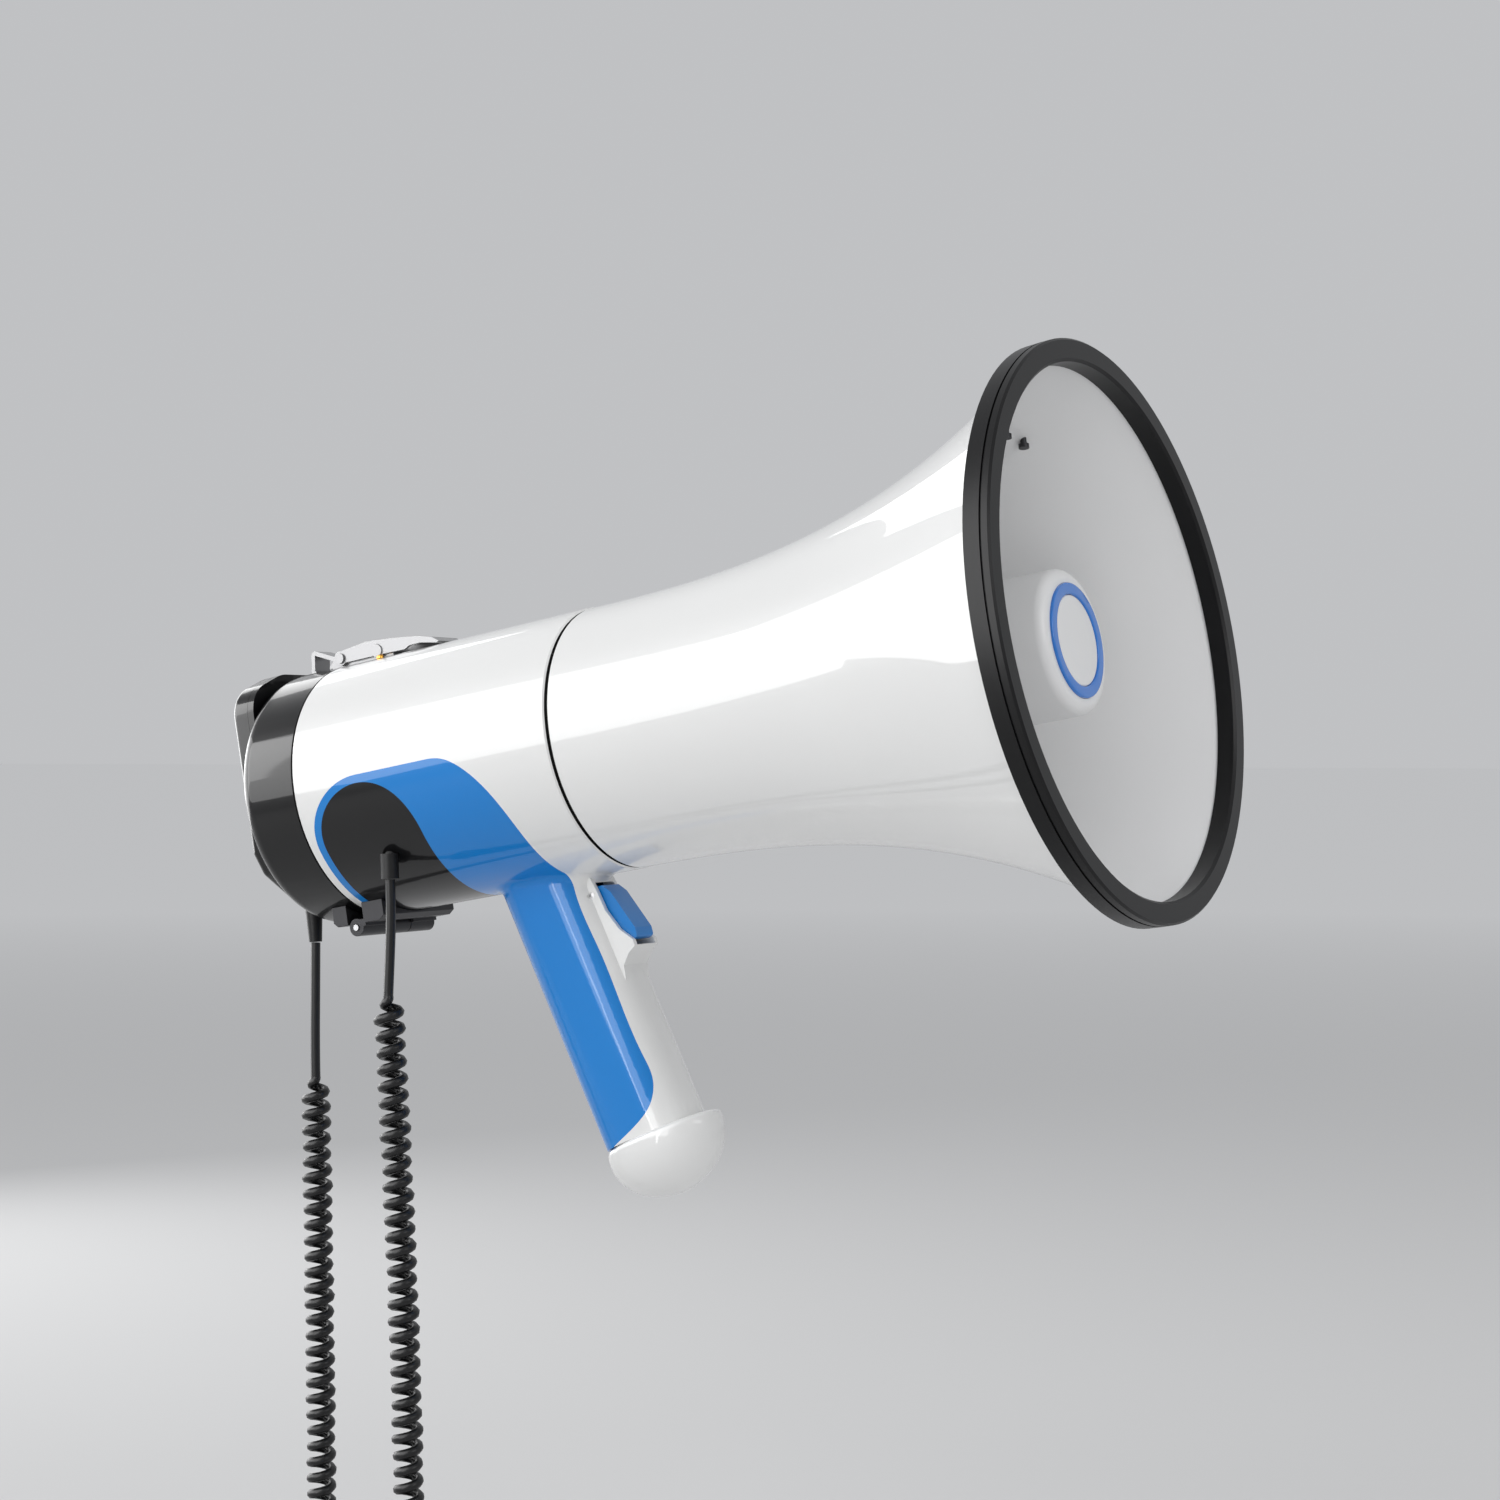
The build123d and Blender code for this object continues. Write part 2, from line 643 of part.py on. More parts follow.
with BuildPart() as mode_switch:
    with BuildSketch(slider_plane.offset(inner_r - 6.6)):
        Rectangle(2 * slider_travel + 14, 9)
    extrude(amount=5)

with BuildPart() as mode_slider:
    with BuildSketch(slider_plane.offset(inner_r - 1.3)):
        Rectangle(6.0, 4.0)
    extrude(amount=body_wall + 4.2)
    fillet(edges().group_by(lambda e: e.center().dot(slider_plane.z_dir))[-1], 0.6)

with BuildPart() as cord_gland:
    add(rod(gland_foot, gland_top, gland_r))
    add(rod(gland_bend, gland_inner, 3.0))

# ---- toggle latch on top ----
lever_pivot = (body_rear_x - 1.2, body_r + 3.0)
bail_pivot = (body_rear_x + 18.1, body_r + 2.6)
latch_cut = disc(body_rear_x - 30, body_rear_x + 40, body_r + 0.05)


def at_top(points):
    """Side-view points given from the top of the body's rear edge."""
    return [(body_rear_x + x, body_r + z) for x, z in points]


def at_foot(points):
    """Side-view points given from the underside of the body's rear edge, the second number downwards."""
    return [(body_rear_x + x, -body_r - z) for x, z in points]




def cross_rod(at, half_length, radius):
    """A private solid: a rod across the megaphone, seen end-on from the side at the point given."""
    return rod((at[0], -half_length, at[1]), (at[0], half_length, at[1]), radius)


with BuildPart() as latch_base:
    add(prism(at_top([(-7.2, -6.5), (24.8, -6.5), (24.8, 0.8), (-7.2, 0.8)]), 7.0))
    add(prism(at_top([(-8.7, -0.1), (-8.7, 0.7), (-6, 3.1), (-2.7, 5.7), (1, 5.7), (8.3, 0.5), (8.3, -0.1)]), 7.0))
    add(prism(at_top([(-10.2, 0.8), (9.8, 0.8), (9.8, 7.5), (-10.2, 7.5)]), 5.6), mode=Mode.SUBTRACT)
    add(prism(at_top([(14.8, -6.5), (21.4, -6.5), (21.4, 1.5), (14.8, 1.5)]), 5.5), mode=Mode.SUBTRACT)
    add(latch_cut, mode=Mode.SUBTRACT)
    add(cross_rod(lever_pivot, 9, 1.45), mode=Mode.SUBTRACT)

with BuildPart() as latch_pins:
    for side in (-1, 1):
        add(rod((lever_pivot[0], side * 5.5, lever_pivot[1]), (lever_pivot[0], side * 9.6, lever_pivot[1]), 1.4))
        add(rod((lever_pivot[0], side * 9.1, lever_pivot[1]), (lever_pivot[0], side * 9.8, lever_pivot[1]), 2.2))

lever_side = at_top([(2.5, 6.3), (12.8, 7.4), (25.7, 6.4), (39.1, 4.7), (46.2, 2.9), (49.6, 0.7), (48.6, 0.1),
              (40.1, 1.7), (34.7, 1.6), (32.1, 0.5), (16.8, 0.8), (5.4, 0.8), (1.3, 0.9), (-0.4, 5.9)])
with BuildPart() as latch_lever:
    add(prism(lever_side, 8.8))
    add(cross_rod(lever_pivot, 8.8, 3.1))
    add(prism(at_top([(-12.2, -2.5), (22.8, -2.5), (22.8, 9.5), (-12.2, 9.5)]), 7.4), mode=Mode.SUBTRACT)
    add(prism(at_top([(22.7, -2.5), (22.7, 5.4), (25.7, 5), (39.1, 3.3), (43.8, 2.3), (43.8, -2.5)]), 7.4), mode=Mode.SUBTRACT)
    add(cross_rod(lever_pivot, 9, 1.6), mode=Mode.SUBTRACT)
    add(cross_rod(bail_pivot, 8.0, 1.1))
    for side in (-1, 1):
        add(rod((bail_pivot[0], side * 8.0, bail_pivot[1]), (bail_pivot[0], side * 9.5, bail_pivot[1]), 3.0, 2.6))

bail_line = [bail_pivot] + at_top([(-4.2, 2.2), (-6.6, 3.7), (-17.9, 8.7), (-19.6, -2.3)])
with BuildPart() as latch_bail:
    with BuildSketch(side_view):
        with BuildLine() as bail_path:
            FilletPolyline(*bail_line, radius=1.0)
        trace(line_width=1.8)
    extrude(amount=5, both=True)
    add(cross_rod(bail_pivot, 5.0, 2.2))
    with BuildSketch(Plane(origin=(body_rear_x + 6.8, 0, body_r - 12.5), x_dir=front, z_dir=(0, 0, 1))):
        with Locations((1.0, 0)):
            RectangleRounded(13, 5.6, 1.5)
    extrude(amount=30, mode=Mode.SUBTRACT)
    add(cross_rod(bail_pivot, 6.0, 1.3), mode=Mode.SUBTRACT)

# ---- hinge underneath ----
hinge_half = 24.0
hinge_pivot = (cap_front_x + 0.15, -body_r - 4.1)
knuckle_r = 3.6
hinge_bore = 1.35
wrap_cut = disc(body_rear_x - 30, body_rear_x + 40, body_r + seat)
with BuildPart() as hinge_body_leaf:
    add(prism(at_foot([(3.8, -8.5), (14.3, -8.5), (14.3, 0.9), (11.8, 2.7), (3.8, 2.7)]), hinge_half))
    add(wrap_cut, mode=Mode.SUBTRACT)
    for side in (-1, 1):
        middle = side * (hinge_half + 8) / 2
        with Locations((body_rear_x + 2.2, middle, -body_r - 2.5)):
            Box(4.9, hinge_half - 8, 3.0)
        add(rod((hinge_pivot[0], side * 8, hinge_pivot[1]), (hinge_pivot[0], side * hinge_half, hinge_pivot[1]), knuckle_r))
    add(wrap_cut, mode=Mode.SUBTRACT)
    add(cross_rod(hinge_pivot, 30, hinge_bore), mode=Mode.SUBTRACT)

with BuildPart() as hinge_cap_leaf:
    add(prism(at_foot([(-4.4, -8.5), (-11.7, -8.5), (-11.7, 0.9), (-9.7, 2.7), (-4.4, 2.7)]), hinge_half))
    with Locations((body_rear_x - 2.6, 0, -body_r - 2.5)):
        Box(4.9, 15.4, 3.0)
    add(rod((hinge_pivot[0], -7.7, hinge_pivot[1]), (hinge_pivot[0], 7.7, hinge_pivot[1]), knuckle_r))
    add(wrap_cut, mode=Mode.SUBTRACT)
    add(cross_rod(hinge_pivot, 30, hinge_bore), mode=Mode.SUBTRACT)

with BuildPart() as hinge_pin:
    add(cross_rod(hinge_pivot, hinge_half + 0.6, 1.25))

# ---- rear cap ----
cap_wall = 2.5
cradle_r = 24.6
cradle_floor_x = (cap_rear_x + 14.5, cap_rear_x + 16.5)
catch_x = (body_rear_x - 17.7, body_rear_x - 16.1)
with BuildPart() as rear_cap:
    add(disc(cap_rear_x, cap_front_x, body_r))
    fillet(edges().filter_by(GeomType.CIRCLE).sort_by(Axis.X)[0], 7.0)
    add(turned([(cap_rear_x + cap_wall, 0), (cap_rear_x + cap_wall, body_r - 7.5), (cap_rear_x + 4.5, body_r - 4.5),
                (cap_rear_x + 7.5, body_r - cap_wall), (cap_front_x + 1, body_r - cap_wall), (cap_front_x + 1, 0)]),
        mode=Mode.SUBTRACT)
    add(ring(cap_front_x - 3.0, cap_front_x, body_r - cap_wall + 0.5, body_r - 4.3))
    add(ring(cap_front_x - 3.0, cap_front_x + 3.5, body_r - 2.9, body_r - 4.3))
    add(disc(cap_rear_x, cradle_floor_x[1], cradle_r + 2.2))
    add(disc(cap_rear_x - 1, cradle_floor_x[0], cradle_r), mode=Mode.SUBTRACT)
    add(prism(at_top([(-24.2, -6.5), (-14.2, -6.5), (-14.2, -0.5), (-24.2, -0.5)]), 9.0))
    add(prism(at_top([(-22.7, -3), (-17.7, -3), (-17.7, 3.5), (-22.7, 3.5)]), 6.0), mode=Mode.SUBTRACT)
    add(prism([(catch_x[0] - 0.05, body_r - 4), (catch_x[1] + 0.1, body_r - 4), (catch_x[1] + 0.1, body_r + 4), (catch_x[0] - 0.05, body_r + 4)], 7.1),
        mode=Mode.SUBTRACT)

with BuildPart() as latch_catch:
    add(prism([(catch_x[0], body_r - 3.9), (catch_x[1], body_r - 3.9), (catch_x[1], body_r + 0.7), (catch_x[0], body_r + 1.1)], 7.0))

# ---- hand microphone, parked in the cap's cradle ----
mic_rear_x = cap_rear_x - 12.0
mic_joint_x = mic_rear_x + mic_thickness
mic_front_x = cap_rear_x - 0.2
mic_low_z = -43.5
mic_points = [(-32.5, 46), (-11, 54), (11, 54), (32.5, 46), (31.8, -20), (27, -29), (6.5, mic_low_z), (-6.5, mic_low_z),
              (-27, -29), (-31.8, -20)]
mic_bends = [14, 18, 18, 14, 5, 5, 5, 5, 5, 5]


def mic_slab(x0, x1, shrink=0.0):
    """A private solid: the microphone's outline from x0 to x1, smaller all round by shrink."""
    with BuildPart(mode=Mode.PRIVATE) as slab:
        with BuildSketch(across(x0)):
            with BuildLine():
                FilletPolyline(*[(mic_y + y, z) for y, z in mic_points], radius=mic_bends, close=True)
            make_face()
            if shrink:
                offset(amount=-shrink, mode=Mode.REPLACE)
        extrude(amount=x1 - x0)
    return slab.part


grille_places = [(8.0 * ring_no * cos(radians(60 * k / ring_no)), 8.0 * ring_no * sin(radians(60 * k / ring_no)))
                 for ring_no in (1, 2) for k in range(6 * ring_no)] + [(0.0, 0.0)]
with BuildPart() as mic_back_shell:
    add(mic_slab(mic_rear_x, mic_joint_x))
    fillet(faces().sort_by(Axis.X)[0].edges(), 3.0)
    add(mic_slab(mic_rear_x + 2.2, mic_joint_x + 1, 2.2), mode=Mode.SUBTRACT)
    with BuildSketch(across(mic_rear_x - 1)):
        with Locations(*[(mic_y + y, 10 + z) for y, z in grille_places]):
            Circle(1.3)
    extrude(amount=4, mode=Mode.SUBTRACT)
    with Locations((mic_joint_x - 2.6, mic_y + mic_half_width, 10)):
        Box(4.0, 8, 30.6, mode=Mode.SUBTRACT)

with BuildPart() as mic_front_shell:
    add(mic_slab(mic_joint_x + seat, mic_front_x))
    add(disc(mic_joint_x + seat, cap_rear_x + 10.5, cradle_r - running))
    add(disc(mic_joint_x + 2.2, cap_rear_x + 8.3, cradle_r - running - 2.2), mode=Mode.SUBTRACT)

with BuildPart() as mic_capsule:
    add(rod((mic_rear_x + 2.4, mic_y, 10), (mic_joint_x - 0.4, mic_y, 10), 11.0))

with BuildPart() as mic_talk_key:
    with Locations((mic_joint_x - 2.6, mic_y + mic_half_width - 1.0, 10)):
        Box(3.2, 6.8, 29.8)
    fillet(edges().filter_by(Axis.X).group_by(Axis.Y)[-1], 2.0)

cord_out = (-152.5 + 0.57, -4.6, 45.4 - 0.61)
relief_foot = (-147.1 + 0.57, -5.0, 31.7 - 0.61)
with BuildPart() as mic_relief:
    add(rod(unheld(*relief_foot), (mic_joint_x - 4.3, mic_y - 1.6, mic_low_z - 0.9), 2.7, 3.6))

# ---- cords, in the frame the megaphone is held in ----
leg_out = (0.8626, 0.506)  # level direction that each wire joins its coil on
swing = Pos(0.57, 0, -0.61)


def tube(points, radii, radius):
    """A private solid: a round cord along straight runs joined by bends of the radii given."""
    with BuildPart(mode=Mode.PRIVATE) as cord:
        with BuildLine() as run:
            FilletPolyline(*points, radius=radii)
        with BuildSketch(Plane(origin=run.line @ 0, z_dir=run.line % 0)):
            Circle(radius)
        sweep()
    return swing * cord.part


def bends(points):
    """Bend radii for a run of points: the largest that leave a little straight run between the bends."""
    runs = [Vector(*b) - Vector(*a) for a, b in zip(points, points[1:])]
    return [min(180.0, 0.45 * min(one.length, two.length) / tan(radians(one.get_angle(two) / 2)))
            for one, two in zip(runs, runs[1:])]


turn_r = 41.7
turn_z = -212.0
turn_middle = (-106.65, -24.0)
turn_along = (0.891, -0.456)


def turn_point(out, down):
    """A corner of the loop that hangs below the grip."""
    return (turn_middle[0] + turn_r * out * turn_along[0], turn_middle[1] + turn_r * out * turn_along[1],
            turn_z - turn_r * down)


corner = tan(radians(22.5))
coil_points = [(-79.9, -43.0, 14.9), (-73.0, -43.0, -85.5), (-69.5, -43.0, -183.7), turn_point(1, corner),
               turn_point(corner, 1), turn_point(-corner, 1), turn_point(-1, corner), (-143.8, -5.0, -202.0),
               (-144.9, -5.0, -118.6), (-147.1, -5.0, -24.4)]
wire_in = coil_r - wire_r
side_points = [(-79.0, -43.0, 61.1), (-77.3, -43.0, 38.0),
               (-79.9 + wire_in * leg_out[0], -43.0 + wire_in * leg_out[1], 14.9 + 0.8)]
mic_points_cord = [(-147.1 + wire_in * leg_out[0], -5.0 + wire_in * leg_out[1], -24.4 + running), (-144.0, -4.0, 2.0),
                   (-147.1, -5.0, 31.6)]
cord_coil = tube(coil_points, bends(coil_points), coil_r)
cord_side_tail = tube(side_points, bends(side_points), wire_r)
cord_mic_tail = tube(mic_points_cord, bends(mic_points_cord), wire_r)

for name, solid in (("cord_coil", cord_coil), ("cord_side_tail", cord_side_tail), ("cord_mic_tail", cord_mic_tail)):
    solid.label = name
    export_step(solid, f"parts/{name}.step")

for name, piece in {
    "horn_bell": drilled_bell, "bell_rim": bell_rim, "throat_tube": throat_tube, "reflector_cup": reflector_cup,
    "reflector_ring": reflector_ring, "reflector_disc": reflector_disc, "driver_housing": driver_housing,
    "driver_diaphragm": driver_diaphragm, "driver_magnet": driver_magnet, "driver_back_plate": driver_back_plate,
    "driver_screws": driver_screws, "seam_gasket": seam_gasket, "strap_lug": strap_lug, "lug_screws": lug_screws,
    "body_upper_shell": body_upper_shell, "body_lower_shell": body_lower_shell, "grip_cover": grip_cover,
    "belly_panel": belly_panel, "grip_end_cap": grip_end_cap, "trigger": trigger, "trigger_pin": trigger_pin, "trigger_spring": trigger_spring,
    "trigger_switch": trigger_switch, "switch_bracket": switch_bracket, "battery_bulkhead": battery_bulkhead,
    "board_posts": board_posts, "amplifier_board": amplifier_board, "heat_sink": heat_sink,
    "board_capacitors": board_capacitors, "battery_holder": battery_holder, "battery_cells": battery_cells,
    "battery_contacts": battery_contacts, "volume_pot": volume_pot, "volume_knob": volume_knob,
    "mode_switch": mode_switch, "mode_slider": mode_slider, "cord_gland": cord_gland, "latch_base": latch_base,
    "latch_pins": latch_pins, "latch_lever": latch_lever, "latch_bail": latch_bail, "latch_catch": latch_catch,
    "hinge_body_leaf": hinge_body_leaf, "hinge_cap_leaf": hinge_cap_leaf, "hinge_pin": hinge_pin, "rear_cap": rear_cap,
    "mic_back_shell": mic_back_shell, "mic_front_shell": mic_front_shell, "mic_capsule": mic_capsule,
    "mic_talk_key": mic_talk_key, "mic_relief": mic_relief,
}.items():
    keep(piece, name)
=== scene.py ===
"""A hand-held electric megaphone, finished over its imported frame: smooth shells, moulded plastics and a
curly cord."""

import json

import bmesh
import bpy
import numpy as np
from mathutils import Matrix, Vector


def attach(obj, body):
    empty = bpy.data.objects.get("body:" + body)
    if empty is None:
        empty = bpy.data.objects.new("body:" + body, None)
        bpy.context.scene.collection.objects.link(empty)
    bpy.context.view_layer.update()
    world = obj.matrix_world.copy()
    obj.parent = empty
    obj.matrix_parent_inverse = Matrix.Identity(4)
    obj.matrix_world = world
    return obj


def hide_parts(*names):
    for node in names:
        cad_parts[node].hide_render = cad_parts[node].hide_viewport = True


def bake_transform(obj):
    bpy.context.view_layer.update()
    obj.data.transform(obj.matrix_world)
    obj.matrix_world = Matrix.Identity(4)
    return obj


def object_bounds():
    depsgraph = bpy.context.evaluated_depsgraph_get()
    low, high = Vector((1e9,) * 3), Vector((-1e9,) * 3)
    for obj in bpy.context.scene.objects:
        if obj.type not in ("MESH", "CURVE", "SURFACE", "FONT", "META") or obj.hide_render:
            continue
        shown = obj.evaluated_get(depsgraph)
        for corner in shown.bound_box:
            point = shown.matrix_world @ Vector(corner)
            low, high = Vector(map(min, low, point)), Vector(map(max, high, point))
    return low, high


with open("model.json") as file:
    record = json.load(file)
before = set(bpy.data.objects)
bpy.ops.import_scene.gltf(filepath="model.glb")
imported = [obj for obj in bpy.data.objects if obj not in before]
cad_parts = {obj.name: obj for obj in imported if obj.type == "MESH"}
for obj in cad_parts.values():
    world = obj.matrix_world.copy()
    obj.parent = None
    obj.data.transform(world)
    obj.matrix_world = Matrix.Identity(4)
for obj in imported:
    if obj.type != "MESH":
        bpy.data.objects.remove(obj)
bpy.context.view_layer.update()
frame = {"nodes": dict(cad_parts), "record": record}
nodes = frame["nodes"]

# ---- the horn's own frame: X forward out of the bell, lengths in millimetres ----
NOSE_UP = np.radians(10.0)
GRIP_MIDDLE = np.array([-238.46, 0.0, -114.3])
FORWARD = np.array([np.cos(NOSE_UP), 0.0, np.sin(NOSE_UP)])
UPWARD = np.array([-np.sin(NOSE_UP), 0.0, np.cos(NOSE_UP)])
HORN_LENGTH = 214.6
SEAM_X = -HORN_LENGTH
MM_PER_M = 1000.0


def held(points):
    """Points of the horn's frame, in millimetres, turned nose-up about the grip and put in metres."""
    p = np.asarray(points, float) - GRIP_MIDDLE
    out = p[..., :1] * FORWARD + p[..., 2:] * UPWARD
    out[..., 1] += p[..., 1]
    return out / MM_PER_M


# ---- camera and light ----
def look(name, place, right, ahead, lens):
    """A level camera at a place, given the level directions to its right and ahead."""
    data = bpy.data.cameras.new(name)
    data.lens = lens
    data.sensor_width = 36.0
    data.clip_start = 0.01
    camera = bpy.data.objects.new(name, data)
    bpy.context.scene.collection.objects.link(camera)
    turn = Matrix((right, (0, 0, 1), tuple(-a for a in ahead))).transposed().to_4x4()
    camera.matrix_world = Matrix.Translation(place) @ turn
    bpy.context.scene.camera = camera


CAMERA_PLACE = (0.62495, -0.96056, 0.11147)
CAMERA_LENS = 69.58
VIEW_RIGHT = np.array([0.8626, 0.5060, 0.0])
VIEW_AHEAD = np.array([-0.5060, 0.8626, 0.0])
look("studio_camera", CAMERA_PLACE, tuple(VIEW_RIGHT), tuple(VIEW_AHEAD), CAMERA_LENS)


def soft_light(name, place, target, width, height, watts, shades, shines, roll):
    """A rectangular softbox at a place, facing a target and rolled by degrees; it shades the object, shines
    in its gloss, or both."""
    data = bpy.data.lights.new(name, "AREA")
    data.shape = "RECTANGLE"
    data.size = width
    data.size_y = height
    data.energy = watts
    lamp = bpy.data.objects.new(name, data)
    bpy.context.scene.collection.objects.link(lamp)
    lamp.location = place
    lamp.visible_camera = False
    lamp.visible_diffuse = shades
    lamp.visible_glossy = shines
    facing = (Vector(target) - Vector(place)).to_track_quat("-Z", "Y").to_matrix()
    lamp.rotation_euler = (facing @ Matrix.Rotation(np.radians(roll), 3, "Z")).to_euler()


SOFTBOXES = (  # name, place, target, width, height, watts, shades, shines, roll
    ("side_panel", (-1.05, -1.04, 0.585), (-1.05, -0.156, 0.117), 2.5, 1.32, 34.0, False, True, 0.0),
    ("left_panel", (-2.1, -0.44, 0.45), (-1.1, -0.44, 0.45), 3.0, 1.3, 38.0, False, True, 31.5),
    ("side_fill", (-0.9, -1.2, 0.9), (-0.05, 0.0, 0.05), 1.6, 1.2, 13.0, True, False, 0.0),
    ("low_fill", (0.7, -1.3, -0.12), (0.05, 0.0, 0.05), 0.9, 0.4, 3.2, True, False, 0.0),
    ("bell_softbox", (1.5, -0.3, 0.9), (0.15, 0.0, 0.12), 0.8, 0.8, 5.0, True, True, 0.0),
    ("top_softbox", (-0.1, 0.5, 1.5), (0.0, 0.0, 0.1), 1.6, 0.6, 5.0, True, False, 0.0),
    ("grip_strip", (-0.35, -1.5, -0.05), (-0.02, 0.0, -0.02), 0.12, 0.7, 1.5, False, True, 0.0),
    ("rim_softbox", (-1.3, 0.6, 0.5), (-0.1, 0.0, 0.1), 0.6, 1.0, 5.0, True, True, 0.0),
)
for softbox in SOFTBOXES:
    soft_light(*softbox)

SKY_COLOUR = (0.80, 0.81, 0.83, 1)
SKY_STRENGTH = 0.66
world = bpy.data.worlds.new("pale_studio")
bpy.context.scene.world = world
world.use_nodes = True
sky = world.node_tree.nodes["Background"]
sky.inputs["Color"].default_value = SKY_COLOUR
sky.inputs["Strength"].default_value = SKY_STRENGTH
bpy.context.scene.view_settings.view_transform = "Standard"


# ---- node groups shared by the finishes ----
def group_socket(tree, name, kind, direction, value=None):
    """One named input or output of a node group."""
    socket = tree.interface.new_socket(name=name, in_out=direction, socket_type=kind)
    if value is not None:
        socket.default_value = value
    return socket


GRAIN_DETAIL, GRAIN_DISTANCE = 2.0, 0.0002
CLOUD_SCALE, CLOUD_DETAIL = 14.0, 4.0
DUST_SCALE, DUST_DETAIL, DUST_FROM, DUST_GAIN = 160.0, 5.0, 0.55, 4.0
DUST_COLOUR = (0.32, 0.32, 0.33, 1)


def make_moulded():
    """Group: a slight colour drift, a roughness drift, dust and a fine moulded grain, all from noise on
    Object coordinates."""
    tree = bpy.data.node_groups.new("moulded_surface", "ShaderNodeTree")
    group_socket(tree, "Colour", "NodeSocketColor", "INPUT", (0.8, 0.8, 0.8, 1))
    for name, value in (("Drift", 0.04), ("Roughness", 0.3), ("Roughness Drift", 0.06),
                        ("Grain Size", 900.0), ("Grain Height", 0.05), ("Dust", 0.0)):
        group_socket(tree, name, "NodeSocketFloat", "INPUT", value)
    group_socket(tree, "Colour", "NodeSocketColor", "OUTPUT")
    group_socket(tree, "Roughness", "NodeSocketFloat", "OUTPUT")
    group_socket(tree, "Normal", "NodeSocketVector", "OUTPUT")
    n, link = tree.nodes, tree.links
    given, out = n.new("NodeGroupInput"), n.new("NodeGroupOutput")
    place = n.new("ShaderNodeTexCoord")

    def noise(detail, scale=1.0):
        made = n.new("ShaderNodeTexNoise")
        made.inputs["Scale"].default_value = scale
        made.inputs["Detail"].default_value = detail
        link.new(place.outputs["Object"], made.inputs["Vector"])
        return made

    def sums(kind, a, b, clamp=False):
        node = n.new("ShaderNodeMath")
        node.operation = kind
        node.use_clamp = clamp
        for socket, value in zip(node.inputs, (a, b)):
            if isinstance(value, (int, float)):
                socket.default_value = value
            else:
                link.new(value, socket)
        return node.outputs[0]

    centred = sums("SUBTRACT", noise(CLOUD_DETAIL, CLOUD_SCALE).outputs["Fac"], 0.5)
    shade = sums("ADD", sums("MULTIPLY", centred, given.outputs["Drift"]), 1.0)
    tint = n.new("ShaderNodeVectorMath")
    tint.operation = "SCALE"
    link.new(given.outputs["Colour"], tint.inputs[0])
    link.new(shade, tint.inputs["Scale"])
    dusty = noise(DUST_DETAIL, DUST_SCALE)
    grit = sums("MULTIPLY", sums("SUBTRACT", dusty.outputs["Fac"], DUST_FROM), DUST_GAIN, True)
    specks = sums("MULTIPLY", grit, given.outputs["Dust"])
    mix = n.new("ShaderNodeMix")
    mix.data_type = "RGBA"
    link.new(specks, mix.inputs["Factor"])
    link.new(tint.outputs[0], mix.inputs[6])
    mix.inputs[7].default_value = DUST_COLOUR
    link.new(mix.outputs[2], out.inputs["Colour"])
    sway = sums("MULTIPLY", centred, given.outputs["Roughness Drift"])
    link.new(sums("ADD", given.outputs["Roughness"], sway, True), out.inputs["Roughness"])
    grain = noise(GRAIN_DETAIL)
    link.new(given.outputs["Grain Size"], grain.inputs["Scale"])
    bump = n.new("ShaderNodeBump")
    bump.inputs["Distance"].default_value = GRAIN_DISTANCE
    link.new(given.outputs["Grain Height"], bump.inputs["Strength"])
    link.new(grain.outputs["Fac"], bump.inputs["Height"])
    link.new(bump.outputs["Normal"], out.inputs["Normal"])
    return tree


MOULDED = make_moulded()
ROUGHNESS_DRIFT = 0.05


def finish_of(name, colour, rough, metal=0.0, coat=0.0, coat_rough=0.08, drift=0.04, grain=900.0, height=0.04,
              dust=0.0, specular=0.5):
    """A material on the moulded group: colour, roughness and grain vary over the surface, the rest is set on
    the shader."""
    made = bpy.data.materials.new(name)
    made.use_nodes = True
    tree = made.node_tree
    shader = tree.nodes["Principled BSDF"]
    surface = tree.nodes.new("ShaderNodeGroup")
    surface.node_tree = MOULDED
    for socket, value in (("Colour", (*colour, 1)), ("Drift", drift), ("Roughness", rough),
                          ("Roughness Drift", ROUGHNESS_DRIFT), ("Grain Size", grain),
                          ("Grain Height", height), ("Dust", dust)):
        surface.inputs[socket].default_value = value
    tree.links.new(surface.outputs["Colour"], shader.inputs["Base Color"])
    tree.links.new(surface.outputs["Roughness"], shader.inputs["Roughness"])
    tree.links.new(surface.outputs["Normal"], shader.inputs["Normal"])
    shader.inputs["Metallic"].default_value = metal
    shader.inputs["Coat Weight"].default_value = coat
    shader.inputs["Coat Roughness"].default_value = coat_rough
    shader.inputs["Specular IOR Level"].default_value = specular
    made.diffuse_color = (*colour, 1)
    return made


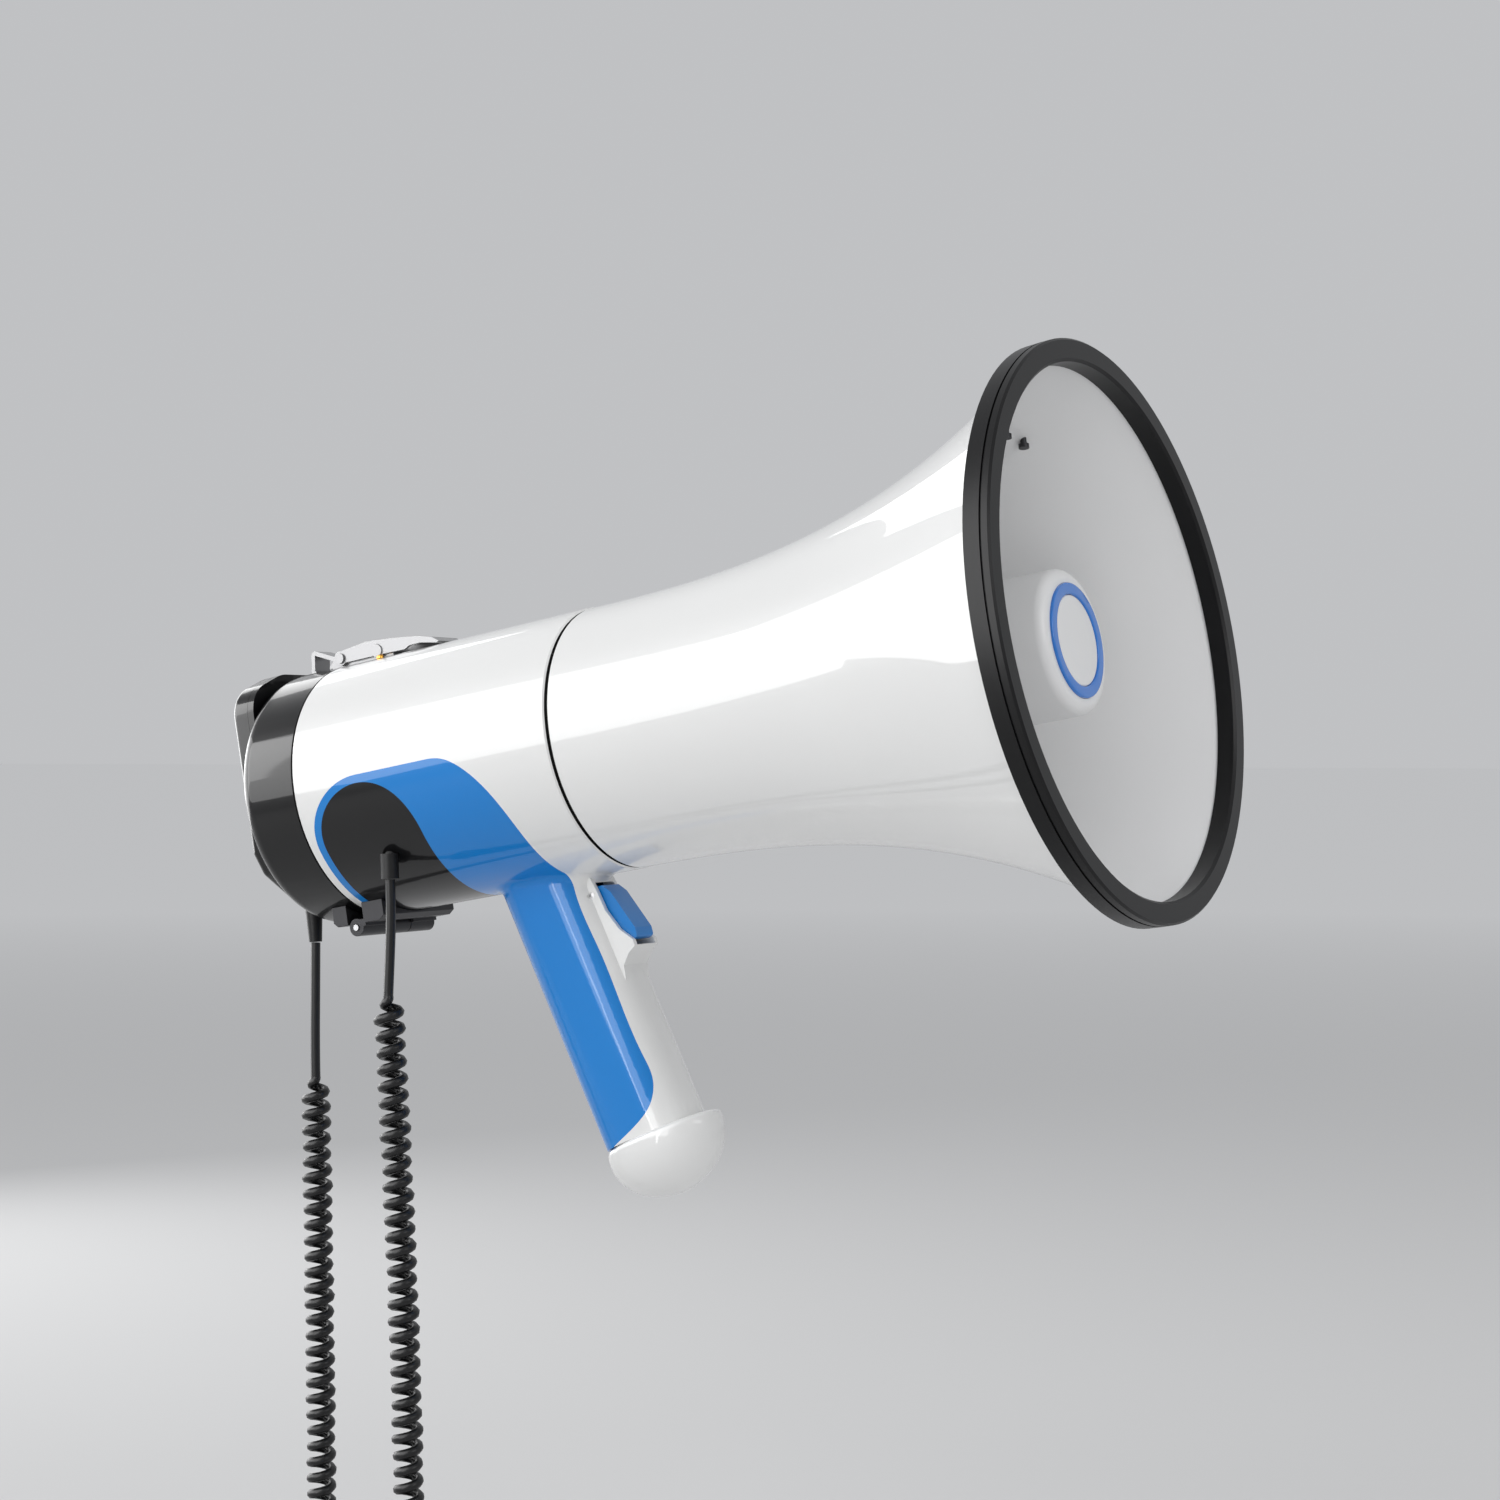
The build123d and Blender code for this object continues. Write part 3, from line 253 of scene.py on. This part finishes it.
FINISH_VALUES = {
    "white_gloss": dict(colour=(0.80, 0.80, 0.79), rough=0.38, coat=1.0, coat_rough=0.03, height=0.012,
                        specular=0.3),
    "white_satin": dict(colour=(0.79, 0.79, 0.79), rough=0.36, height=0.03, coat=0.3, coat_rough=0.25),
    "blue_gloss": dict(colour=(0.0005, 0.20, 0.60), rough=0.36, coat=0.75, coat_rough=0.05, height=0.015,
                       drift=0.05, specular=0.15),
    "blue_ring": dict(colour=(0.004, 0.17, 0.62), rough=0.25, coat=0.8, height=0.01),
    "black_gloss": dict(colour=(0.003, 0.003, 0.0035), rough=0.30, coat=0.65, coat_rough=0.05, height=0.012,
                        drift=0.2, specular=0.12),
    "black_satin": dict(colour=(0.008, 0.008, 0.0085), rough=0.42, height=0.10, drift=0.2, grain=1400,
                        specular=0.3),
    # the seam band's black is partly the gasket's rubber and partly painted shade of the gap; it reflects
    # almost nothing
    "gasket_black_and_painted_gap_shade": dict(colour=(0.0015, 0.0015, 0.0015), rough=0.8, height=0.02, specular=0.05),
    "rim_rubber": dict(colour=(0.004, 0.004, 0.0045), rough=0.36, height=0.08, drift=0.25, grain=1600,
                       dust=0.003, specular=0.28),
    "cord_rubber": dict(colour=(0.006, 0.006, 0.0065), rough=0.34, height=0.05, drift=0.2, grain=2200,
                        specular=0.4),
    "chrome_plate": dict(colour=(0.30, 0.30, 0.305), rough=0.24, metal=0.55, height=0.01),
    "plain_steel": dict(colour=(0.52, 0.52, 0.53), rough=0.30, metal=1.0, height=0.05, drift=0.12, grain=600),
    "dark_steel": dict(colour=(0.035, 0.035, 0.038), rough=0.38, metal=0.6, height=0.10, drift=0.2),
    "brass_rivet": dict(colour=(0.90, 0.46, 0.08), rough=0.25, metal=1.0, height=0.03),
    "magnet_ferrite": dict(colour=(0.05, 0.05, 0.055), rough=0.6, metal=0.3, height=0.3, drift=0.3,
                           grain=700),
    "cast_aluminium": dict(colour=(0.62, 0.63, 0.64), rough=0.40, metal=1.0, height=0.15, drift=0.1,
                           grain=500),
    "amber_film": dict(colour=(0.30, 0.16, 0.05), rough=0.35, height=0.03, drift=0.15),
    "board_green": dict(colour=(0.01, 0.12, 0.04), rough=0.32, coat=0.4, height=0.08, drift=0.3, grain=300),
    "cell_jacket": dict(colour=(0.05, 0.055, 0.07), rough=0.25, coat=0.5, height=0.02, drift=0.15),
}
FINISH = {name: finish_of(name, **values) for name, values in FINISH_VALUES.items()}


# ---- surfaces on grids ----
def shell(name, rows, closed_u=False, closed_v=False, capped=False):
    """A mesh from a grid of points, rows by columns, joined round either way; capped closes the first and
    last rows with fans."""
    rows = np.asarray(rows, float)
    nu, nv = rows.shape[:2]
    at = np.arange(nu * nv).reshape(nu, nv)
    a = np.vstack([at, at[:1]]) if closed_u else at
    a = np.hstack([a, a[:, :1]]) if closed_v else a
    quads = np.stack([a[:-1, :-1], a[1:, :-1], a[1:, 1:], a[:-1, 1:]], -1).reshape(-1, 4)
    points = rows.reshape(-1, 3)
    faces = quads.tolist()
    if capped:
        points = np.vstack([points, rows[0].mean(0), rows[-1].mean(0)])
        first, last = nu * nv, nu * nv + 1
        ring = np.arange(nv)
        nxt = (ring + 1) % nv
        faces += np.stack([np.full(nv, first), ring, nxt], -1).tolist()
        faces += np.stack([np.full(nv, last), at[-1][nxt], at[-1][ring]], -1).tolist()
    mesh = bpy.data.meshes.new(name)
    mesh.from_pydata(points.tolist(), [], faces)
    mesh.validate()
    work = bmesh.new()
    work.from_mesh(mesh)
    bmesh.ops.recalc_face_normals(work, faces=work.faces)
    work.to_mesh(mesh)
    work.free()
    made = bpy.data.objects.new(name, mesh)
    bpy.context.scene.collection.objects.link(made)
    return made


def soften(made, degrees=32.0):
    """Smooth shading, with edges that turn by more than the angle kept sharp."""
    work = bmesh.new()
    work.from_mesh(made.data)
    limit = float(np.radians(degrees))
    for face in work.faces:
        face.smooth = True
    for edge in work.edges:
        edge.smooth = len(edge.link_faces) == 2 and edge.calc_face_angle(0.0) < limit
    work.to_mesh(made.data)
    work.free()
    return made


def dress(made, finish, body, slot, *stands_for):
    """Gives a piece its finish and its body, and hides the CAD nodes it stands for; slot is not used."""
    made.data.materials.clear()
    made.data.materials.append(FINISH[finish])
    if body:
        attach(made, body)
    if stands_for:
        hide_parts(*stands_for)
    return made


def spun(name, outline, turns=192, closed=True):
    """The outline (x, r) carried round the horn's axis; closed joins its last point to its first."""
    outline = np.asarray(outline, float)
    angle = np.linspace(0, 2 * np.pi, turns, endpoint=False)
    x = np.repeat(outline[:, :1], turns, 1)
    grid = np.stack([x, outline[:, 1:] * np.sin(angle), outline[:, 1:] * np.cos(angle)], -1)
    return shell(name, held(grid), closed_u=closed, closed_v=True)


SEAM_R = 52.2
MOUTH_RISE = 52.1
FLARE_POWER = 2.6
FLARE_WALL = 2.4


def flare(x, wall=0.0):
    """Horn radius at x: the seam's radius, plus the mouth's rise times a power of the way to the mouth."""
    way = np.clip((x + HORN_LENGTH) / HORN_LENGTH, 0, 1)
    return SEAM_R + MOUTH_RISE * way**FLARE_POWER - wall


MERGE_DISTANCE = 2e-6
FLAT_ANGLE = 0.5
ROUND_ANGLE = 40
ROUND_STEPS = 3


def node_copy(name, node, finish, body, slot, bevel):
    """A smooth-shaded copy of a CAD node, with its loose triangles joined, that stands for the node; a bevel
    in metres rounds its sharp edges."""
    mesh = nodes[node].data.copy()
    work = bmesh.new()
    work.from_mesh(mesh)
    bmesh.ops.remove_doubles(work, verts=work.verts, dist=MERGE_DISTANCE)
    if bevel:
        bmesh.ops.dissolve_limit(work, angle_limit=np.radians(FLAT_ANGLE), verts=work.verts, edges=work.edges)
    work.to_mesh(mesh)
    work.free()
    made = bpy.data.objects.new(name, mesh)
    bpy.context.scene.collection.objects.link(made)
    soften(made)
    if bevel:
        round_off = made.modifiers.new("edge_round", "BEVEL")
        round_off.width = bevel
        round_off.segments = ROUND_STEPS
        round_off.limit_method = "ANGLE"
        round_off.angle_limit = np.radians(ROUND_ANGLE)
        round_off.harden_normals = True
    return dress(made, finish, body, slot, node)


# ---- curly cord ----
def route(name, points):
    """Points along the smooth line that a cord's control points give, read from its NURBS spline."""
    data = bpy.data.curves.new(name, "CURVE")
    data.dimensions = "3D"
    data.resolution_u = 24
    spline = data.splines.new("NURBS")
    spline.points.add(len(points) - 1)
    weighted = np.hstack([np.asarray(points, float) / MM_PER_M, np.ones((len(points), 1))])
    spline.points.foreach_set("co", weighted.ravel())
    spline.order_u = 3
    spline.use_endpoint_u = True
    line = bpy.data.objects.new(name, data)
    bpy.context.scene.collection.objects.link(line)
    bpy.context.view_layer.update()
    mesh = bpy.data.meshes.new_from_object(line.evaluated_get(bpy.context.evaluated_depsgraph_get()))
    out = np.empty(len(mesh.vertices) * 3)
    mesh.vertices.foreach_get("co", out)
    bpy.data.objects.remove(line)
    bpy.data.meshes.remove(mesh)
    return out.reshape(-1, 3)


def even(line, step):
    """The line again with points a near-constant step apart, and its length."""
    run = np.concatenate([[0], np.cumsum(np.linalg.norm(np.diff(line, axis=0), axis=1))])
    count = max(3, int(round(run[-1] / step)) + 1)
    where = np.linspace(0, run[-1], count)
    return np.stack([np.interp(where, run, line[:, k]) for k in range(3)], -1), run[-1]


def frames(line):
    """Tangents and two side directions that turn as little as they can along the line."""
    tangent = np.gradient(line, axis=0)
    tangent /= np.linalg.norm(tangent, axis=1)[:, None]
    side = np.empty_like(line)
    start = VIEW_RIGHT - tangent[0] * (VIEW_RIGHT @ tangent[0])
    side[0] = start / np.linalg.norm(start)
    for k in range(1, len(line)):
        s = side[k - 1] - tangent[k] * (side[k - 1] @ tangent[k])
        side[k] = s / np.linalg.norm(s)
    return tangent, side, np.cross(tangent, side)


def cord_tube(name, line, radius, around=8):
    """A round tube along a line, with closed ends."""
    tangent, side, other = frames(line)
    angle = np.linspace(0, 2 * np.pi, around, endpoint=False)
    ring = np.cos(angle)[None, :, None] * side[:, None] + np.sin(angle)[None, :, None] * other[:, None]
    return shell(name, line[:, None] + radius * ring, closed_v=True, capped=True)


SWING = np.array([0.57, 0.0, -0.61])
TURN_MIDDLE = np.array([-106.65, -24.0, -212.0])
TURN_ALONG = np.array([0.891, -0.456, 0.0])
TURN_R = 41.7
CORNER = np.tan(np.radians(22.5))
DOWN = np.array([0.0, 0.0, -1.0])
CORD_DIAMETER = 0.004
COIL_R = 4.25
COIL_PITCH = 6.6
COIL_STEP = 0.0015
TAIL_STEP = 0.002
END_TURN = 0.008


def turn_point(out, down):
    """A corner of the loop that hangs below the grip."""
    return TURN_MIDDLE + TURN_R * (out * TURN_ALONG + down * DOWN)


coil_route = SWING + [
    (-79.9, -43.0, 14.9), (-73.0, -43.0, -85.5), (-69.5, -43.0, -183.7),
    turn_point(1, CORNER), turn_point(CORNER, 1), turn_point(-CORNER, 1), turn_point(-1, CORNER),
    (-143.8, -5.0, -202.0), (-144.9, -5.0, -118.6), (-147.1, -5.0, -24.4),
]
side_route = np.vstack([SWING + [(-79.0, -43.0, 60.8), (-78.4, -43.0, 48.0), (-79.2, -42.8, 31.0)],
                        coil_route[0]])
mic_route = np.vstack([coil_route[-1],
                       SWING + [(-147.4, -5.0, -10.0), (-147.2, -5.0, 12.0), (-147.1, -5.0, 31.4)]])


def helix(line, reach, radius, pitch, per_turn=14):
    """A helix round a line: its radius swells from nothing over the first turn and sinks back over the last,
    so that the straight tails run into it without a corner, and it wavers by a few hundredths between."""
    count = int(round(reach / (pitch / MM_PER_M)))
    _, side, other = frames(line)
    way = np.concatenate([[0], np.cumsum(np.linalg.norm(np.diff(line, axis=0), axis=1))])
    last = np.arctan2(VIEW_RIGHT @ other[-1], VIEW_RIGHT @ side[-1])
    total = 2 * np.pi * count + last
    phase = np.linspace(0, total, count * per_turn + 1)
    where = np.linspace(0, way[-1], len(phase))

    def along(values):
        return np.stack([np.interp(where, way, values[:, k]) for k in range(3)], -1)

    swell = np.clip(np.minimum(where, where[-1] - where) / END_TURN, 0, 1)
    waver = 1.0 + 0.07 * np.sin(where * 210.0) * np.sin(where * 57.0 + 1.0)
    size = swell**2 * (3 - 2 * swell) * waver
    ring = np.cos(phase)[:, None] * along(side) + np.sin(phase)[:, None] * along(other)
    return along(line) + radius / MM_PER_M * size[:, None] * ring


coil_line, coil_reach = even(route("coil_route", coil_route), COIL_STEP)
side_line = even(route("side_route", side_route), TAIL_STEP)[0]
mic_line = even(route("mic_route", mic_route), TAIL_STEP)[0]
cord_line = np.vstack([side_line[:-1], helix(coil_line, coil_reach, COIL_R, COIL_PITCH), mic_line[1:]])
curly_cord = soften(cord_tube("curly_cord", cord_line, CORD_DIAMETER / 2), 60)
dress(curly_cord, "cord_rubber", None, "cord_jacket", "cord_coil", "cord_side_tail", "cord_mic_tail")
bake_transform(curly_cord)

# ---- horn ----
SEAM_BEVEL = 0.6
SEAM_LINE = [(SEAM_X - 1.15, 50.6), (SEAM_X - 1.15, 51.95), (SEAM_X - 0.05, 51.95), (SEAM_X - 0.05, 50.6)]


def looks_inward(mesh):
    """For each face of a mesh round the horn's axis, whether it looks towards the axis."""
    middles, normals = np.empty(len(mesh.polygons) * 3), np.empty(len(mesh.polygons) * 3)
    mesh.polygons.foreach_get("center", middles)
    mesh.polygons.foreach_get("normal", normals)
    outward = middles.reshape(-1, 3) - held([(0.0, 0.0, 0.0)])
    outward -= (outward @ FORWARD)[:, None] * FORWARD
    return (outward * normals.reshape(-1, 3)).sum(1) < 0


run = np.linspace(SEAM_X, 0.0, 64)
run[0] += SEAM_BEVEL
bell_outline = np.vstack([[(SEAM_X, flare(SEAM_X) - SEAM_BEVEL)], np.stack([run, flare(run)], -1),
                          np.stack([run[::-1], flare(run[::-1], FLARE_WALL)], -1)])
horn_flare = soften(spun("horn_flare", bell_outline), 40)
dress(horn_flare, "white_gloss", "root", "white_plastic", "horn_bell")
horn_flare.data.materials.append(FINISH["white_satin"])
horn_flare.data.polygons.foreach_set("material_index", looks_inward(horn_flare.data).astype(np.int32))
# the seam band: a black gasket between horn and body that also carries painted shade of the gap
dress(soften(spun("seam_line", SEAM_LINE)), "gasket_black_and_painted_gap_shade", "root", "black_rubber", "seam_gasket")

# ---- brass foot under the latch's near side ----
BRASS_AT = np.array([-319.0, -10.8, 51.3])
BRASS_FLAT, BRASS_BEND, BRASS_HEIGHT = 0.9, 0.7, 1.4


def brass_foot(turns=32):
    """A low dome: an upright quarter ellipse, set out by a flat, carried round the vertical."""
    bend = np.linspace(0, np.pi / 2, 10)
    arc = np.stack([BRASS_FLAT + BRASS_BEND * np.cos(bend), BRASS_HEIGHT * np.sin(bend)], -1)
    arc = np.vstack([arc, [(0.02, BRASS_HEIGHT)]])
    angle = np.linspace(0, 2 * np.pi, turns, endpoint=False)
    grid = BRASS_AT + np.stack([arc[:, :1] * np.cos(angle), arc[:, :1] * np.sin(angle),
                                np.repeat(arc[:, 1:], turns, 1)], -1)
    return soften(shell("latch_brass_foot", held(grid), closed_v=True, capped=True), 60)


dress(brass_foot(), "brass_rivet", "root", "bright_steel")

# ---- rounded end of the grip ----
END_MIDDLE = np.array([-221.0, 0.0, -158.5])
END_ACROSS = np.array([0.9708, 0.0, 0.2398])
END_DOWN = np.array([0.2398, 0.0, -0.9708])
END_LONG, END_WIDE, END_DEEP = 24.0, 18.6, 21.1  # half sizes
END_LEAN = -0.118
END_TOP = -4.14
END_ROLL = 2.6
END_REAR = 1.055  # the rear half is this much longer than the front half


def grip_end(turns=128):
    """The knob at the grip's foot: every level is a superellipse, squarer at the rear, its size set by an
    ellipse in the level's depth; the flat top rolls over into the side through a quarter bend."""
    bend = np.linspace(0, np.pi / 2, 9)
    start = (END_TOP + END_ROLL) / END_DEEP
    widest_top = np.sqrt(1 - start**2)
    top = np.stack([widest_top - END_ROLL / END_LONG * (1 - np.sin(bend)),
                    END_TOP + END_ROLL * (1 - np.cos(bend))], -1)
    fall = np.linspace(np.arcsin(start), np.pi / 2, 40)[1:-1]
    side = np.stack([np.cos(fall), END_DEEP * np.sin(fall)], -1)
    profile = np.vstack([[(0.55, END_TOP)], top, side, [(0.01, END_DEEP)]])
    angle = np.linspace(0, 2 * np.pi, turns, endpoint=False)
    power = 2.0 / (2.33 - 0.30 * np.cos(angle))
    u = np.sign(np.cos(angle)) * np.abs(np.cos(angle)) ** power
    v = np.sign(np.sin(angle)) * np.abs(np.sin(angle)) ** power * END_WIDE
    u = np.where(u < 0, u * END_REAR, u) * END_LONG
    size, depth = profile[:, :1, None], profile[:, 1:, None]
    grid = (END_MIDDLE + (size * u[None, :, None] + END_LEAN * depth) * END_ACROSS + depth * END_DOWN
            + size * v[None, :, None] * np.array([0.0, 1.0, 0.0]))
    return soften(shell("grip_end", held(grid), closed_v=True, capped=True), 50)


dress(grip_end(), "white_gloss", "root", "white_plastic", "grip_end_cap")

# ---- CAD shapes kept, with smooth skins ----
SKINS = {
    "white_gloss": ("white_plastic", ["body_upper_shell", "body_lower_shell"]),
    "white_satin": ("white_plastic", ["throat_tube", "reflector_cup", "reflector_disc"]),
    "blue_gloss": ("blue_plastic", ["grip_cover", "trigger"]),
    "blue_ring": ("blue_plastic", ["reflector_ring"]),
    "black_gloss": ("black_plastic", ["rear_cap", "belly_panel", "mic_back_shell", "mic_front_shell"]),
    "black_satin": ("black_matte", ["driver_housing", "volume_knob", "mode_slider", "mic_talk_key",
                                    "cord_gland", "battery_holder", "battery_bulkhead", "board_posts",
                                    "switch_bracket", "trigger_switch", "mode_switch"]),
    "rim_rubber": ("black_rubber", ["bell_rim", "mic_relief"]),
    "chrome_plate": ("bright_steel", ["latch_lever", "latch_base", "latch_bail", "latch_catch",
                                      "latch_pins"]),
    "dark_steel": ("dark_steel", ["hinge_body_leaf", "hinge_cap_leaf", "lug_screws", "strap_lug"]),
    "plain_steel": ("dull_steel", ["hinge_pin", "trigger_pin", "trigger_spring", "driver_screws",
                                   "driver_back_plate", "battery_contacts", "volume_pot", "mic_capsule"]),
    "magnet_ferrite": ("magnet_ferrite", ["driver_magnet"]),
    "cast_aluminium": ("aluminium", ["heat_sink", "board_capacitors"]),
    "amber_film": ("diaphragm_film", ["driver_diaphragm"]),
    "board_green": ("board_green", ["amplifier_board"]),
    "cell_jacket": ("cell_jacket", ["battery_cells"]),
}
EDGE_ROUND = {"trigger": 0.0010, "latch_lever": 0.0003, "latch_base": 0.0003, "latch_catch": 0.0003,
              "hinge_body_leaf": 0.0004, "hinge_cap_leaf": 0.0004, "mic_talk_key": 0.0005,
              "volume_knob": 0.0004, "mode_slider": 0.0003}
bodies = frame["record"]["behaviour"]["bodies"]
body_of_node = {node: body for body, members in bodies.items() for node in members}
for finish, (slot, members) in SKINS.items():
    for node in members:
        node_copy(f"{node}_skin", node, finish, body_of_node[node], slot, EDGE_ROUND.get(node, 0.0))

# ---- floor ----
FLOOR_Z = float(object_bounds()[0][2]) - 0.02
FLOOR_HALF = 60.0


def studio_floor():
    """A broad level sheet of pale paper, its colour painted lighter away from the object as painted light for
    the lamps' fall-off, until it meets the sky's tone.
    """
    made = shell("studio_floor", np.array([[(x, y, FLOOR_Z) for y in (-FLOOR_HALF, FLOOR_HALF)]
                                           for x in (-FLOOR_HALF, FLOOR_HALF)]))
    paper = bpy.data.materials.new("floor_paper")
    paper.use_nodes = True
    n, link = paper.node_tree.nodes, paper.node_tree.links
    place = n.new("ShaderNodeTexCoord")
    reach = n.new("ShaderNodeVectorMath")
    reach.operation = "LENGTH"
    link.new(place.outputs["Object"], reach.inputs[0])
    # painted light: the paper's colour rises from 0.62 near the object to 0.97 far off, in place of light the
    # lamps don't carry
    painted_light_ramp = n.new("ShaderNodeMapRange")
    for socket, value in (("From Min", 0.6), ("From Max", 6.0), ("To Min", 0.62), ("To Max", 0.97)):
        painted_light_ramp.inputs[socket].default_value = value
    link.new(reach.outputs["Value"], painted_light_ramp.inputs["Value"])
    shader = n["Principled BSDF"]
    link.new(painted_light_ramp.outputs["Result"], shader.inputs["Base Color"])
    shader.inputs["Roughness"].default_value = 0.9
    shader.inputs["Specular IOR Level"].default_value = 0.0
    made.data.materials.append(paper)


studio_floor()

bpy.context.view_layer.update()
